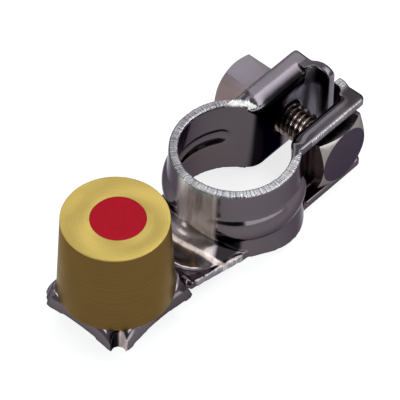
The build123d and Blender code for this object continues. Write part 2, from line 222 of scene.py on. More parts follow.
# Painted shade darkens the neck from where the painted reflection on the wall ends to its front
# edge, and a painted highlight makes a bright patch at its front corner by the ring.
SHADE_STARTS, SHADE_ENDS_Y = (radians(27), radians(30)), (-0.0088, -0.0082)
CORNER_X, CORNER_Y, CORNER_OUT = (-0.0150, -0.0130), (-0.0082, -0.0092), (0.0125, 0.0135)
CORNER_RISE = 0.4


def neck_light_and_shade(place, normal):
    """The ring's wall and the neck by the post: a painted reflection of the post, with a painted
    highlight along the ridge across and painted shade on the neck.
    """
    turn = atan2(-place.y, -place.x)
    painted_light = soft(turn, *REFLECTION_STARTS) * soft(turn, *REFLECTION_ENDS, 1, 0)
    painted_light *= soft(place.z, *WALL_Z, 1, WALL_REFLECTION) * soft(normal.z, *TOP_RISE, 1, TOP_REFLECTION)
    past_crest = place.x - CREST_X - CREST_CURVE * place.y ** 2
    if past_crest < 0:
        fading_reflection = painted_light * soft(past_crest, *FADING_BEFORE, 0, FADING_REFLECTION)
        return max(fading_reflection, soft(past_crest, *CREST_BEFORE)), 0.0
    painted_highlight = soft(past_crest, *CREST_AFTER, 1, 0)
    shaded = soft(normal.z, *TOP_RISE, 0, TOP_SHADE)
    if place.z < NECK_HIGH:
        shaded = max(shaded, soft(turn, *SHADE_STARTS) * soft(place.y, *SHADE_ENDS_Y))
    if place.z < NECK_HIGH and normal.z > CORNER_RISE:
        corner = soft(place.x, *CORNER_X) * soft(place.y, *CORNER_Y)
        painted_highlight = max(painted_highlight, corner * soft(hypot(place.x, place.y), *CORNER_OUT))
    return max(painted_light, painted_highlight), shaded * (1 - painted_highlight)


BEND_STARTS_X, BEND_ENDS_X = (0.0100, 0.0125), (RETURN_X - 0.001, RETURN_X + 0.0005)
BEND_SHADE, BEND_Y, BEND_EDGE = 0.85, (0.0035, 0.0051), 0.0058
FAR_SHADE, FAR_X, FAR_RISE = 0.5, (0.0180, 0.0205), (0.4, 0.8)


def flange_shade(place, normal):
    """The flanges' tops: painted shade over the back one's bend and towards the front one's end."""
    if place.y < 0:
        return 0.0, soft(place.x, *FAR_X, 0, FAR_SHADE) * soft(normal.z, *FAR_RISE)
    along = soft(place.x, *BEND_STARTS_X) * soft(place.x, *BEND_ENDS_X, 1, 0)
    return 0.0, along * soft(place.y, *BEND_Y, BEND_SHADE, 0)


RETURN_LIGHT, RETURN_Y, RETURN_Z = 0.8, (0.0006, 0.0014), (0.0120, 0.0136)
CUT_END_LIGHT, CUT_END_RISE = 0.35, (-0.3, -0.8)
RETURN_SHADE, RETURN_TOP, RETURN_TOP_RISE = 0.9, 0.2, (0.2, 0.6)


def return_light_and_shade(place, normal):
    """The back return: painted shade outside, painted light inside and a little painted light on its cut
    end.
    """
    inner = soft(place.y, *RETURN_Y) * soft(place.z, *RETURN_Z, 1, 0) * (normal.x < 0)
    cut_end = soft(normal.y, *CUT_END_RISE)
    shaded = RETURN_SHADE * (1 - inner) * soft(normal.z, *RETURN_TOP_RISE, 1, RETURN_TOP)
    return max(RETURN_LIGHT * inner, CUT_END_LIGHT * cut_end), shaded * (1 - cut_end)


EAR_LIGHT, EAR_LIGHT_X, EAR_LIGHT_Z = 0.9, (0.0150, 0.0172), (0.0126, 0.0140)
EAR_DARK_X, EAR_DARK_Z = (0.0148, 0.0168), (0.0130, 0.0142)
UNDER_BEND_RISE = 0.3


def ear_light_and_shade(place, normal):
    """The ears' inner faces: painted shade near the ring and under the bend, painted light in between."""
    painted_light = EAR_LIGHT * soft(place.x, *EAR_LIGHT_X) * soft(place.z, *EAR_LIGHT_Z, 1, 0)
    under_bend = soft(place.z, *EAR_DARK_Z) * (normal.z < UNDER_BEND_RISE)
    return painted_light, max(under_bend, soft(place.x, *EAR_DARK_X, 1, 0))


# Painted shade darkens the front edge of the plate under the post a little, a painted highlight
# lies on the back flange's root, and painted shade darkens the ring's inner wall by the back ear.
SKIRT_SHADE, SKIRT_Y, SKIRT_HIGH = 0.35, (-0.0070, -0.0078), 0.0065
ROOT_X, ROOT_Y = (0.0052, 0.0068), (0.0018, 0.0026)
WALL_DARK_X, WALL_DARK_Y = (0.0087, 0.0094), (0.0, 0.001)
GAP_SLACK = 0.0004          # a point this far past an ear's face still counts as in the gap
ROOT_TO_R = RING_TOP_R + 0.8 * SHEET
ROOT_DEEP, FLANGE_DEEP = 0.6, 1.6   # how far below the strap's top they reach, in sheets
NECK_RISE = 0.3             # inside the ring, only what rises this much is the neck's
EAR_FACES_GAP = 0.5


def painted_light_and_shade(place, normal):
    """The painted light and the painted shade at any point of the strap, from the part it lies on."""
    from_axis = hypot(place.x, place.y)
    from_top = (STRAP_HIGH.z - place.z) / SHEET
    outward = place.x * normal.x + place.y * normal.y > 0
    in_gap = -GAP_FRONT - GAP_SLACK < place.y < GAP_BACK + GAP_SLACK and place.x > RING_TOP_R
    if place.x < PLATE_X and place.y < 0:
        return flute_light_and_shade(place)
    by_post = PLATE_END_X < place.x < 0 and from_axis > RING_TOP_R + SHEET / 2
    if by_post and (outward or normal.z > NECK_RISE):
        return neck_light_and_shade(place, normal)
    at_root = 0 < place.y < FLANGE_BACK and place.x > 0 and from_axis < ROOT_TO_R
    if at_root and normal.z > LEANS_UP and from_top < ROOT_DEEP:
        return soft(place.x, *ROOT_X) * soft(place.y, *ROOT_Y), 0.0
    over_bend = 0 < place.y < BEND_EDGE and place.x < BEND_ENDS_X[1]
    on_flange = place.x > FLANGE_START_X and (over_bend or place.y < -GAP_FRONT - GAP_SLACK)
    if on_flange and normal.z > LEANS_UP and from_top < FLANGE_DEEP:
        return flange_shade(place, normal)
    if PLATE_X < place.x < PLATE_END_X and place.y < 0 and place.z < SKIRT_HIGH:
        return 0.0, soft(place.y, *SKIRT_Y, 0, SKIRT_SHADE)
    if in_gap and place.x > RETURN_X - SHEET / 3 and place.y > RETURNS_PART_Y:
        return return_light_and_shade(place, normal)
    if in_gap and abs(normal.y) > EAR_FACES_GAP:
        return ear_light_and_shade(place, normal)
    if (in_gap or not outward) and normal.z < FACES_UP:
        return 0.0, soft(place.x, *WALL_DARK_X) * soft(place.y, *WALL_DARK_Y)
    return 0.0, 0.0


# Each point keeps its scoring, its run along the edge, and its painted light and painted shade.
marks = {name: strap.data.attributes.new(name, "FLOAT", "POINT")
         for name in ("cut_edge", "edge_run", "painted_light", "painted_shade")}
for vertex in strap.data.vertices:
    values = sheared(vertex.co, vertex.normal) + painted_light_and_shade(vertex.co, vertex.normal)
    for mark, value in zip(marks.values(), values):
        mark.data[vertex.index].value = value
for vertex in strap.data.vertices:
    vertex.co = sprung(vertex.co)


def new_material(name, metallic):
    """A material with its tree, its Principled shader and the object's coordinates."""
    material = bpy.data.materials.new(name)
    material.use_nodes = True
    tree = material.node_tree
    shader = tree.nodes["Principled BSDF"]
    shader.inputs["Metallic"].default_value = metallic
    coords = tree.nodes.new("ShaderNodeTexCoord").outputs["Object"]
    return material, tree, shader, coords


def noise(tree, source, scale, detail=4.0):
    """Noise with a number of features to the metre, in space or along a length."""
    texture = tree.nodes.new("ShaderNodeTexNoise")
    along = source.type == "VALUE"
    texture.noise_dimensions = "1D" if along else "3D"
    texture.inputs["Scale"].default_value = scale
    texture.inputs["Detail"].default_value = detail
    tree.links.new(source, texture.inputs["W" if along else "Vector"])
    return texture.outputs["Fac"]


def spread(tree, value, low, high, start=0.35, end=0.65):
    """Spreads a value that runs from start to end over low to high."""
    node = tree.nodes.new("ShaderNodeMapRange")
    for name, number in (("From Min", start), ("From Max", end), ("To Min", low), ("To Max", high)):
        node.inputs[name].default_value = number
    tree.links.new(value, node.inputs["Value"])
    return node.outputs["Result"]


def reckoned(tree, operation, first, second):
    """One math operation on two values, by its name."""
    node = tree.nodes.new("ShaderNodeMath")
    node.operation = operation
    tree.links.new(first, node.inputs[0])
    tree.links.new(second, node.inputs[1])
    return node.outputs[0]


def times(tree, first, second):
    """The product of two values."""
    return reckoned(tree, "MULTIPLY", first, second)


def larger(tree, first, second):
    """The larger of two values."""
    return reckoned(tree, "MAXIMUM", first, second)


def mapped(tree, source, shift=(0, 0, 0), scale=(1, 1, 1)):
    """Coordinates scaled and then shifted."""
    node = tree.nodes.new("ShaderNodeMapping")
    node.inputs["Location"].default_value = shift
    node.inputs["Scale"].default_value = scale
    tree.links.new(source, node.inputs["Vector"])
    return node.outputs["Vector"]


def from_origin(tree, source):
    """How far coordinates lie from the origin."""
    node = tree.nodes.new("ShaderNodeVectorMath")
    node.operation = "LENGTH"
    tree.links.new(source, node.inputs[0])
    return node.outputs["Value"]


def parts_of(tree, source):
    """The three parts of coordinates, by the names of their axes."""
    node = tree.nodes.new("ShaderNodeSeparateXYZ")
    tree.links.new(source, node.inputs["Vector"])
    return node.outputs


def mixed(tree, factor, first, second):
    """A mix of two colours, each written out or taken from a socket."""
    node = tree.nodes.new("ShaderNodeMix")
    node.data_type = "RGBA"
    tree.links.new(factor, node.inputs["Factor"])
    for name, colour in (("A", first), ("B", second)):
        socket = next(s for s in node.inputs if s.name == name and s.type == "RGBA")
        if isinstance(colour, tuple):
            socket.default_value = colour
        else:
            tree.links.new(colour, socket)
    return next(s for s in node.outputs if s.type == "RGBA")


def dented(tree, shader, heights):
    """Bumps laid one over another; each is a height and its depth in metres."""
    below = None
    for height, depth in heights:
        node = tree.nodes.new("ShaderNodeBump")
        node.inputs["Distance"].default_value = depth
        tree.links.new(height, node.inputs["Height"])
        if below:
            tree.links.new(below, node.inputs["Normal"])
        below = node.outputs["Normal"]
    tree.links.new(below, shader.inputs["Normal"])


def attribute(tree, name):
    """The value of one of the piece's own attributes."""
    node = tree.nodes.new("ShaderNodeAttribute")
    node.attribute_name = name
    return node.outputs["Fac"]


NICKEL = (0.098, 0.085, 0.097, 1)
NICKEL_WARM = (0.108, 0.088, 0.095, 1)
# the colour of the painted shade
NICKEL_PAINTED_SHADE = (0.006, 0.005, 0.006, 1)
NICKEL_GLANCE = (0.45, 0.43, 0.47, 1)
# colours of the painted light: a painted reflection of the brass post by the neck, painted light on the
# ears' faces, and a painted highlight at the back flange's root
PAINTED_NECK_LIGHT = (0.82, 0.68, 0.62, 1)
PAINTED_EAR_LIGHT = (0.40, 0.38, 0.47, 1)
PAINTED_ROOT_LIGHT = (0.80, 0.78, 0.74, 1)
EAR_FROM_X = (-0.001, 0.001)    # the painted light goes from the neck's colour to the ears' over this
ROOT_FROM_Z = (0.0152, 0.0156)  # and on to that of the flange's root over this
SCORE_DARK = (0.17, 0.165, 0.175, 1)
SCORE_LIGHT = (0.66, 0.65, 0.66, 1)
SCORES_PER_M = 3600
SCORE_DEPTH = 0.00004
GRAINS_PER_M = 420
GRAIN_DRAWN = (1.4, 1.4, 0.3)   # the grain is drawn out up the walls
WARMTH_PER_M = 90
WAVES_PER_M = 170
WAVE_DEPTH = 0.00010
PEEL_PER_M = 1500
PEEL_DEPTH = 0.000006
BRIGHT_ROUGH, DULL_ROUGH = 0.12, 0.38
EAR_DULL = 0.32             # the ears have been bent more than the ring and shine less
PAINTED_LIGHT_METAL = 0.15           # where light is painted on, little of the metal's own shine is left


def nickel_plate():
    """Dark mirror plate, a little waved by the press, with scored sheared edges, and painted light and
    painted shade laid over it.
    """
    material, tree, shader, coords = new_material("nickel_plate", 1.0)
    shader.inputs["Specular Tint"].default_value = NICKEL_GLANCE
    cut, painted_light = attribute(tree, "cut_edge"), attribute(tree, "painted_light")
    parts = parts_of(tree, coords)
    scores = noise(tree, attribute(tree, "edge_run"), SCORES_PER_M, 6.0)
    torn = noise(tree, coords, SCORES_PER_M, 6.0)
    grain = noise(tree, mapped(tree, coords, scale=GRAIN_DRAWN), GRAINS_PER_M, 3.0)
    scores = spread(tree, scores, 0.2, 1.5, 0.38, 0.62)
    ticks = times(tree, scores, spread(tree, torn, 0.35, 1.0, 0.36, 0.60))
    scored = mixed(tree, ticks, SCORE_DARK, SCORE_LIGHT)
    painted_tone = mixed(tree, spread(tree, parts["X"], 0.0, 1.0, *EAR_FROM_X), PAINTED_NECK_LIGHT, PAINTED_EAR_LIGHT)
    painted_tone = mixed(tree, spread(tree, parts["Z"], 0.0, 1.0, *ROOT_FROM_Z), painted_tone, PAINTED_ROOT_LIGHT)
    plate = mixed(tree, spread(tree, noise(tree, coords, WARMTH_PER_M), 0.0, 1.0), NICKEL, NICKEL_WARM)
    plate = mixed(tree, times(tree, painted_light, spread(tree, grain, 0.45, 1.0, 0.38, 0.56)), plate, painted_tone)
    plate = mixed(tree, attribute(tree, "painted_shade"), plate, NICKEL_PAINTED_SHADE)
    amount = times(tree, cut, spread(tree, noise(tree, coords, GRAINS_PER_M, 3.0), 0.45, 1.0))
    tree.links.new(mixed(tree, amount, plate, scored), shader.inputs["Base Color"])
    on_ears = spread(tree, parts["X"], 0.0, EAR_DULL, RING_TOP_R, RING_TOP_R + 2 * SHEET)
    dull = larger(tree, larger(tree, amount, painted_light), on_ears)
    tree.links.new(spread(tree, dull, BRIGHT_ROUGH, DULL_ROUGH, 0.0, 1.0), shader.inputs["Roughness"])
    tree.links.new(spread(tree, painted_light, 1.0, PAINTED_LIGHT_METAL, 0.0, 1.0), shader.inputs["Metallic"])
    dented(tree, shader, [
        (noise(tree, coords, WAVES_PER_M, 1.0), WAVE_DEPTH),
        (noise(tree, coords, PEEL_PER_M, 3.0), PEEL_DEPTH),
        (times(tree, ticks, amount), SCORE_DEPTH)])
    return material


strap.data.materials.append(nickel_plate())
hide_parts("clamp_strap")
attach(strap, "strap")

# ---------------------------------------------------------------------------------------
# Brass post. Turned from bar to a battery post's taper, faced on top with a recess for the
# mark, tapped from below and drawn down on the plate. The tool has left fine rings.
# ---------------------------------------------------------------------------------------
POST_LOW, POST_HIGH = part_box("brass_post")
POST_X = (POST_LOW.x + POST_HIGH.x) / 2
POST_BASE_R = (POST_HIGH.x - POST_LOW.x) / 2
POST_TOP_R = 0.00875
POST_H = POST_HIGH.z - POST_LOW.z
MARK_LOW, MARK_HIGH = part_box("red_mark")
MARK_R = (MARK_HIGH.x - MARK_LOW.x) / 2
MARK_CLEAR = 0.00002
MARK_SHIFT = ((MARK_LOW.x + MARK_HIGH.x) / 2 - POST_X, (MARK_LOW.y + MARK_HIGH.y) / 2, 0)
TAPPED_R = 0.00405
TAPPED_DEPTH = 0.0098
POST_EDGE = 0.00006
ROUND = 128                 # sides of everything that is turned
END_FACE = 0.9              # how nearly a normal follows the axis on an end face


def pick_faces(piece, test):
    """In edit mode, selects the faces whose normal passes a test."""
    bpy.ops.mesh.select_mode(type="FACE")
    bpy.ops.mesh.select_all(action="DESELECT")
    shape = bmesh.from_edit_mesh(piece.data)
    for face in shape.faces:
        if test(face.normal):
            face.select_set(True)
    bmesh.update_edit_mesh(piece.data)


def sink(inset, depth, shift=(0, 0, 0)):
    """Sinks a hole into the selected end face: inset, moved sideways, pushed in."""
    bpy.ops.mesh.inset(thickness=inset)
    bpy.ops.transform.translate(value=shift)
    bpy.ops.mesh.extrude_region_move(TRANSFORM_OT_translate={"value": (0, 0, depth)})


def soften(piece, width, steep=30, segments=3):
    """Breaks a piece's edges steeper than some degrees and shades it smooth between them."""
    apply_modifier(piece, "BEVEL", width=width, segments=segments, limit_method="ANGLE",
                   angle_limit=radians(steep), harden_normals=False)
    bpy.ops.object.shade_smooth_by_angle(angle=radians(steep))


bpy.ops.object.select_all(action="DESELECT")
bpy.ops.mesh.primitive_cone_add(vertices=ROUND, radius1=POST_BASE_R, radius2=POST_TOP_R, depth=POST_H,
                                location=(POST_X, 0, POST_LOW.z + POST_H / 2))
post = bpy.context.object
post.name = "turned_post"
bpy.ops.object.transform_apply(location=True, rotation=True, scale=True)
bpy.ops.object.mode_set(mode="EDIT")
pick_faces(post, lambda normal: normal.z > END_FACE)
sink(POST_TOP_R - MARK_R - MARK_CLEAR, MARK_LOW.z - MARK_HIGH.z, MARK_SHIFT)
pick_faces(post, lambda normal: normal.z < -END_FACE)
sink(POST_BASE_R - TAPPED_R, TAPPED_DEPTH)
bpy.ops.object.mode_set(mode="OBJECT")
soften(post, POST_EDGE)

BRASS = (0.350, 0.246, 0.066, 1)
BRASS_LIGHT = (0.425, 0.315, 0.090, 1)
# the taper's colours: painted shade, the same brass made darker and browner than the top
BRASS_SIDE_SHADE = (0.100, 0.056, 0.017, 1)
BRASS_SIDE_SHADE_PALE = (0.130, 0.077, 0.024, 1)
BRASS_GLANCE = (0.75, 0.68, 0.56, 1)
TOP_FROM_Z = (POST_HIGH.z - 0.00022, POST_HIGH.z - 0.00012)
RINGS_PER_M = 6400
RING_DEPTH = 0.000008
PASSES_PER_M = 4200
PASS_DEPTH = 0.000005
PITS_PER_M = 2200
PIT_DEPTH = 0.000006


def turned_brass():
    """Yellow faced brass on top; the taper is painted shade, darker and browner; the tool's rings on
    both.
    """
    material, tree, shader, coords = new_material("turned_brass", 1.0)
    shader.inputs["Anisotropic"].default_value = 0.6
    shader.inputs["Specular Tint"].default_value = BRASS_GLANCE
    around = tree.nodes.new("ShaderNodeTangent")
    around.direction_type = "RADIAL"
    around.axis = "Z"
    tree.links.new(around.outputs["Tangent"], shader.inputs["Tangent"])
    height = parts_of(tree, coords)["Z"]
    radius = from_origin(tree, mapped(tree, coords, (-POST_X, 0, 0), (1, 1, 0)))
    on_top = spread(tree, height, 0.0, 1.0, *TOP_FROM_Z)
    rings = noise(tree, radius, RINGS_PER_M, 6.0)
    passes = noise(tree, height, PASSES_PER_M, 5.0)
    top = mixed(tree, spread(tree, rings, 0.0, 1.0, 0.3, 0.7), BRASS, BRASS_LIGHT)
    side = mixed(tree, spread(tree, passes, 0.0, 1.0, 0.3, 0.7), BRASS_SIDE_SHADE, BRASS_SIDE_SHADE_PALE)
    tree.links.new(mixed(tree, on_top, side, top), shader.inputs["Base Color"])
    tree.links.new(spread(tree, noise(tree, coords, 260, 3.0), 0.30, 0.40), shader.inputs["Roughness"])
    dented(tree, shader, [
        (times(tree, rings, on_top), RING_DEPTH),
        (passes, PASS_DEPTH),
        (noise(tree, coords, PITS_PER_M, 4.0), PIT_DEPTH)])
    return material


post.data.materials.append(turned_brass())
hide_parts("brass_post")
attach(post, "strap")

# ---------------------------------------------------------------------------------------
# Red mark. Enamel that fills the recess in the post's top and shows that the terminal is
# positive. It has drawn back a little from the recess's wall as it dried.
# ---------------------------------------------------------------------------------------
MARK_RIM = 0.0003           # inside its edge the enamel falls this far in and this deep,
MARK_DIP = 0.00004
MARK_SLOPE = 0.0012         # and from there more slowly
MARK_DIP_MORE = 0.00001
MARK_EDGE = 0.00005
RED = (0.310, 0.0025, 0.012, 1)
RED_DARK = (0.285, 0.0022, 0.010, 1)
SKIN_DEPTH = 0.000008

bpy.ops.object.select_all(action="DESELECT")
bpy.ops.mesh.primitive_cylinder_add(vertices=ROUND, radius=MARK_R, depth=MARK_HIGH.z - MARK_LOW.z,
                                    location=(MARK_LOW + MARK_HIGH) / 2)
mark = bpy.context.object
mark.name = "enamel_mark"
bpy.ops.object.transform_apply(location=True, rotation=True, scale=True)
bpy.ops.object.mode_set(mode="EDIT")
pick_faces(mark, lambda normal: normal.z > END_FACE)
bpy.ops.mesh.inset(thickness=MARK_RIM)
bpy.ops.transform.translate(value=(0, 0, -MARK_DIP))
bpy.ops.mesh.inset(thickness=MARK_SLOPE)
bpy.ops.transform.translate(value=(0, 0, -MARK_DIP_MORE))
bpy.ops.object.mode_set(mode="OBJECT")
soften(mark, MARK_EDGE)


def red_enamel():
    """Half-gloss enamel with a faint mottle and a slightly uneven skin."""
    material, tree, shader, coords = new_material("red_enamel", 0.0)
    shader.inputs["Specular IOR Level"].default_value = 0.05
    mottle = noise(tree, coords, 700, 3.0)
    tone = mixed(tree, spread(tree, mottle, 0.0, 1.0), RED_DARK, RED)
    tree.links.new(tone, shader.inputs["Base Color"])
    tree.links.new(spread(tree, noise(tree, coords, 1500), 0.36, 0.46), shader.inputs["Roughness"])
    dented(tree, shader, [(noise(tree, coords, 900, 3.0), SKIN_DEPTH)])
    return material


mark.data.materials.append(red_enamel())
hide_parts("red_mark")
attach(mark, "strap")

# ---------------------------------------------------------------------------------------
# Clamp nut. A long hex nut, cut from bar, with its outer end chamfered and its bore
# countersunk. It turns against the back ear and draws the ears together.
# ---------------------------------------------------------------------------------------
NUT_LOW, NUT_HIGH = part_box("clamp_nut")
NUT_AF = 0.0100             # across its flats, which stand level above and below the bolt
NUT_SHORT = 0.0004          # faced a little short
NUT_H = NUT_HIGH.y - NUT_LOW.y - NUT_SHORT
BOLT_X = (NUT_LOW.x + NUT_HIGH.x) / 2
BOLT_Z = (NUT_LOW.z + NUT_HIGH.z) / 2
BORE_R = 0.00305
SINK_R = 0.0035             # the countersink at each end of the bore
CHAMFER = radians(30)
NUT_EDGE = 0.00010
SATIN_STEEL = (0.160, 0.146, 0.172, 1)
SATIN_STEEL_WARM = (0.165, 0.138, 0.146, 1)
# painted shade in brown on the lower facets, going to grey towards the top
SATIN_STEEL_SHADE_BROWN = (0.215, 0.160, 0.155, 1)
BROWN_TO_GREY_Z = (NUT_HIGH.z - 0.0022, NUT_HIGH.z - 0.0002)
LINES_DRAWN = (1, 0.06, 1)
LINES_PER_M = 2600
LINE_DEPTH = 0.0000010
SATIN_PER_M = 1800
SATIN_DEPTH = 0.000004


def cut_by(piece, tool, operation):
    """Cuts, crosses or joins a piece with a tool, and removes the tool."""
    apply_modifier(piece, "BOOLEAN", object=tool, operation=operation, solver="EXACT")
    bpy.data.objects.remove(tool)


def cone(low_r, high_r, length, base=0.0):
    """A plain cone or round bar standing on a height, for cutting with."""
    bpy.ops.object.select_all(action="DESELECT")
    bpy.ops.mesh.primitive_cone_add(vertices=ROUND, radius1=low_r, radius2=high_r, depth=length,
                                    location=(0, 0, base + length / 2))
    bpy.ops.object.transform_apply(location=True, rotation=True, scale=True)
    return bpy.context.object


def chamfered_bar(name, sides, across, length):
    """A bar with four or six flats, its corners turned off to a cone at the end at z = 0."""
    bpy.ops.object.select_all(action="DESELECT")
    bpy.ops.mesh.primitive_cylinder_add(vertices=sides, radius=across / 2 / cos(pi / sides), depth=length,
                                        location=(0, 0, length / 2), rotation=(0, 0, pi / sides))
    bar = bpy.context.object
    bar.name = name
    bpy.ops.object.transform_apply(location=True, rotation=True, scale=True)
    cut_by(bar, cone(across / 2, across / 2 + length / tan(CHAMFER), length), "INTERSECT")
    return bar


def lay_along_bolt(piece, y, turn):
    """Turns a piece from standing to lying on the bolt's axis, with its end at y."""
    select_only(piece)
    piece.rotation_euler = (turn, 0, 0)
    piece.location = (BOLT_X, y, BOLT_Z)
    bpy.ops.object.transform_apply(location=True, rotation=True, scale=True)


nut = chamfered_bar("long_nut", 6, NUT_AF, NUT_H)
cut_by(nut, cone(BORE_R, BORE_R, 3 * NUT_H, -NUT_H), "DIFFERENCE")
cut_by(nut, cone(SINK_R, 0.0, SINK_R), "DIFFERENCE")
cut_by(nut, cone(0.0, SINK_R, SINK_R, NUT_H - SINK_R), "DIFFERENCE")
lay_along_bolt(nut, NUT_HIGH.y - NUT_SHORT, pi / 2)
soften(nut, NUT_EDGE, 25, 2)


def satin_steel():
    """Plated steel with a satin face and drawn lines along the bar, and painted shade in brown on its
    lower facets.
    """
    material, tree, shader, coords = new_material("satin_steel", 1.0)
    lines = noise(tree, mapped(tree, coords, scale=LINES_DRAWN), LINES_PER_M, 5.0)
    tone = noise(tree, coords, 260, 3.0)
    upper = mixed(tree, spread(tree, tone, 0.0, 1.0), SATIN_STEEL, SATIN_STEEL_WARM)
    height = spread(tree, parts_of(tree, coords)["Z"], 0.0, 1.0, *BROWN_TO_GREY_Z)
    tree.links.new(mixed(tree, height, SATIN_STEEL_SHADE_BROWN, upper), shader.inputs["Base Color"])
    tree.links.new(spread(tree, lines, 0.30, 0.36), shader.inputs["Roughness"])
    dented(tree, shader, [(lines, LINE_DEPTH), (noise(tree, coords, SATIN_PER_M, 4.0), SATIN_DEPTH)])
    return material


bolt_finish = satin_steel()
nut.data.materials.append(bolt_finish)
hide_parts("clamp_nut")
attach(nut, "nut")

# ---------------------------------------------------------------------------------------
# Clamp bolt. A forged square-head bolt with a rolled M6 thread. Its head sits between the
# front ear's flanges, which keep it from turning.
# ---------------------------------------------------------------------------------------
BOLT_LOW, BOLT_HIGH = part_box("clamp_bolt")
HEAD_AF = BOLT_HIGH.z - BOLT_LOW.z
HEAD_H = 0.0033
SHANK_LENGTH = BOLT_HIGH.y - BOLT_LOW.y - HEAD_H
CREST_R = 0.00298
ROOT_R = 0.00242
PITCH = 0.001
THREAD_STEPS = 36           # faces in one turn of the thread
SHANK_TIP = 0.0006
HEAD_EDGE = 0.00022
HEAD_STRAIGHT = 0.97        # how nearly a normal follows the axis on the head's flat face
HEAD_TURNED = 0.7           # and on the turned corners round it
HEAD_TOP = 0.7              # a side that rises more than this keeps the face's tone
HEAD_SLACK = 0.00001
# painted shade in the thread's roots and a painted highlight on its crests; then the head's face, its
# sides in painted light and its turned corners in a painted highlight
THREAD_ROOT_SHADE = (0.085, 0.062, 0.055, 1)
THREAD_CREST_HIGHLIGHT = (0.300, 0.245, 0.230, 1)
HEAD_FACE = (0.060, 0.052, 0.062, 1)
HEAD_SIDE_LIGHT = (0.22, 0.17, 0.16, 1)
HEAD_CORNER_HIGHLIGHT = (0.22, 0.20, 0.19, 1)
BOLT_GLANCE = (0.45, 0.42, 0.47, 1)
DENTS_PER_M = 420
DENT_DEPTH = 0.00003
SPECKS_PER_M = 2600
SPECK_DEPTH = 0.000003


def threaded_rod(name, length):
    """A rod with a thread of one pitch's profile, wound up the axis and cut off at both ends."""
    bpy.ops.object.select_all(action="DESELECT")
    bpy.ops.mesh.primitive_plane_add(size=PITCH, location=(ROOT_R, 0, -PITCH))
    rod = bpy.context.object
    rod.name = name
    bpy.ops.object.transform_apply(location=True, rotation=True, scale=True)
    bpy.ops.object.mode_set(mode="EDIT")
    bpy.ops.mesh.select_mode(type="VERT")
    bpy.ops.mesh.select_all(action="SELECT")
    bpy.ops.mesh.merge(type="CENTER")
    flank, rise = 5 * PITCH / 16, CREST_R - ROOT_R
    for out, along in ((0, PITCH / 4), (rise, flank), (0, PITCH / 8), (-rise, flank)):
        move = {"value": (out, 0, along)}
        bpy.ops.mesh.extrude_region_move(TRANSFORM_OT_translate=move)
    bpy.ops.object.mode_set(mode="OBJECT")
    apply_modifier(rod, "SCREW", angle=2 * pi, screw_offset=PITCH, iterations=ceil(length / PITCH) + 2,
                   steps=THREAD_STEPS, render_steps=THREAD_STEPS, use_merge_vertices=False)
    bpy.ops.object.mode_set(mode="EDIT")
    bpy.ops.mesh.select_all(action="SELECT")
    bpy.ops.mesh.remove_doubles(threshold=MERGE)
    bpy.ops.mesh.bisect(plane_co=(0, 0, 0), plane_no=(0, 0, 1), use_fill=True, clear_inner=True)
    bpy.ops.mesh.select_all(action="SELECT")
    bpy.ops.mesh.bisect(plane_co=(0, 0, length), plane_no=(0, 0, 1), use_fill=True, clear_outer=True)
    bpy.ops.mesh.select_all(action="SELECT")
    bpy.ops.mesh.normals_make_consistent(inside=False)
    bpy.ops.object.mode_set(mode="OBJECT")
    return rod


bolt = chamfered_bar("square_bolt", 4, HEAD_AF, HEAD_H)
soften(bolt, HEAD_EDGE, 25, 3)
shank = threaded_rod("bolt_thread", HEAD_H / 2 + SHANK_LENGTH)
tip_h = CREST_R + SHANK_TIP
barrel_h = HEAD_H / 2 + SHANK_LENGTH - tip_h
tip = cone(2 * CREST_R, CREST_R - SHANK_TIP, tip_h, barrel_h)
barrel = cone(2 * CREST_R, 2 * CREST_R, barrel_h)
cut_by(barrel, tip, "UNION")
cut_by(shank, barrel, "INTERSECT")
select_only(shank)
shank.location.z = HEAD_H / 2
bpy.ops.object.transform_apply(location=True, rotation=True, scale=True)
cut_by(bolt, shank, "UNION")
lay_along_bolt(bolt, BOLT_LOW.y, -pi / 2)
bpy.ops.object.shade_smooth_by_angle(angle=radians(28))

# where the head takes painted light on its sides and a painted highlight on its corners
kinds = {name: bolt.data.attributes.new(name, "FLOAT", "FACE") for name in ("thread", "side", "corner")}
for face in bolt.data.polygons:
    forward = -face.normal.y
    on_head = face.center.y < BOLT_LOW.y + HEAD_H + HEAD_SLACK
    kinds["thread"].data[face.index].value = not on_head
    kinds["side"].data[face.index].value = forward < HEAD_TURNED and face.normal.z < HEAD_TOP
    kinds["corner"].data[face.index].value = on_head and HEAD_TURNED < forward < HEAD_STRAIGHT


def bolt_plate():
    """Dark plate on the head's face, a painted highlight on its turned corners and painted light on its
    sides; painted shade in the thread's roots and a painted highlight on its crests.
    """
    material, tree, shader, coords = new_material("bolt_plate", 1.0)
    shader.inputs["Specular Tint"].default_value = BOLT_GLANCE
    radius = from_origin(tree, mapped(tree, coords, (-BOLT_X, 0, -BOLT_Z), (1, 0, 1)))
    on_crest = spread(tree, radius, 0.0, 1.0, ROOT_R, CREST_R)
    tone = mixed(tree, attribute(tree, "side"), HEAD_FACE, HEAD_SIDE_LIGHT)
    tone = mixed(tree, attribute(tree, "corner"), tone, HEAD_CORNER_HIGHLIGHT)
    thread = mixed(tree, on_crest, THREAD_ROOT_SHADE, THREAD_CREST_HIGHLIGHT)
    tree.links.new(mixed(tree, attribute(tree, "thread"), tone, thread), shader.inputs["Base Color"])
    tree.links.new(spread(tree, noise(tree, coords, 900), 0.18, 0.28), shader.inputs["Roughness"])
    dented(tree, shader, [
        (noise(tree, coords, DENTS_PER_M, 2.0), DENT_DEPTH),
        (noise(tree, coords, SPECKS_PER_M), SPECK_DEPTH)])
    return material


bolt.data.materials.append(bolt_plate())
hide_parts("clamp_bolt")
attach(bolt, "bolt")

